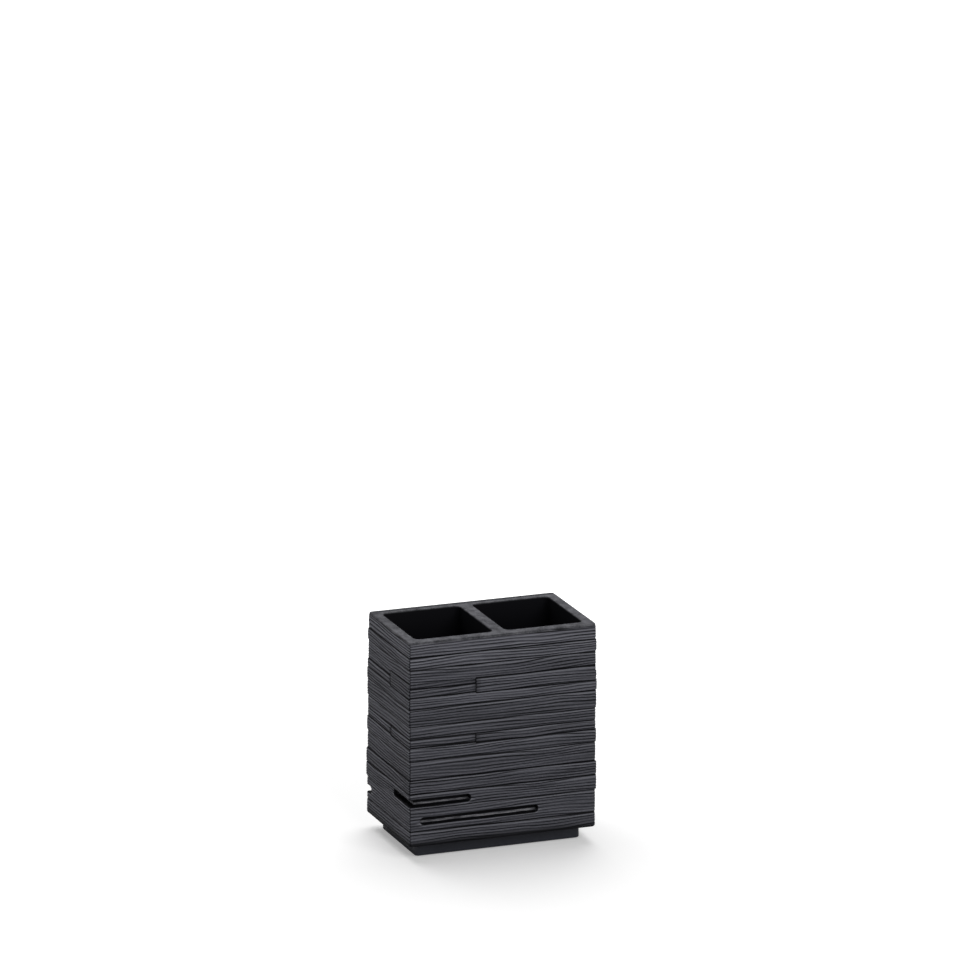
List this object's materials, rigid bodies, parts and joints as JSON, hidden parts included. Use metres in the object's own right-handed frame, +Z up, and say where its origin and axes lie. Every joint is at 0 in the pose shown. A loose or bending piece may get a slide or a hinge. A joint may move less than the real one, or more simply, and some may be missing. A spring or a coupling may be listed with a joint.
{
  "type": "toothbrush holder",
  "caption": "Free-standing rectangular toothbrush holder with side-by-side open wells, stacked-slat relief sides, a flat rim and a recessed plinth on rubber feet.",
  "frame": {"origin": "on the floor under the middle of the holder, where its feet stand", "axes": "+Z up through the open wells, +X along the long side with the divider across it, front face towards -Y"},
  "size_m": [0.0932, 0.0591, 0.106],
  "materials": {
    "slat_resin": "matt charcoal resin with dry-brushed grain",
    "liner_resin": "smooth satin charcoal resin",
    "plinth_resin": "smooth matt black resin",
    "foot_rubber": "matt black rubber"
  },
  "bodies": {
    "root": {"slat_sleeve": "slat_resin", "well_liner": "liner_resin", "plinth_base": "plinth_resin", "foot_front_left": "foot_rubber", "foot_front_right": "foot_rubber", "foot_rear_left": "foot_rubber", "foot_rear_right": "foot_rubber"}
  },
  "joints": []
}
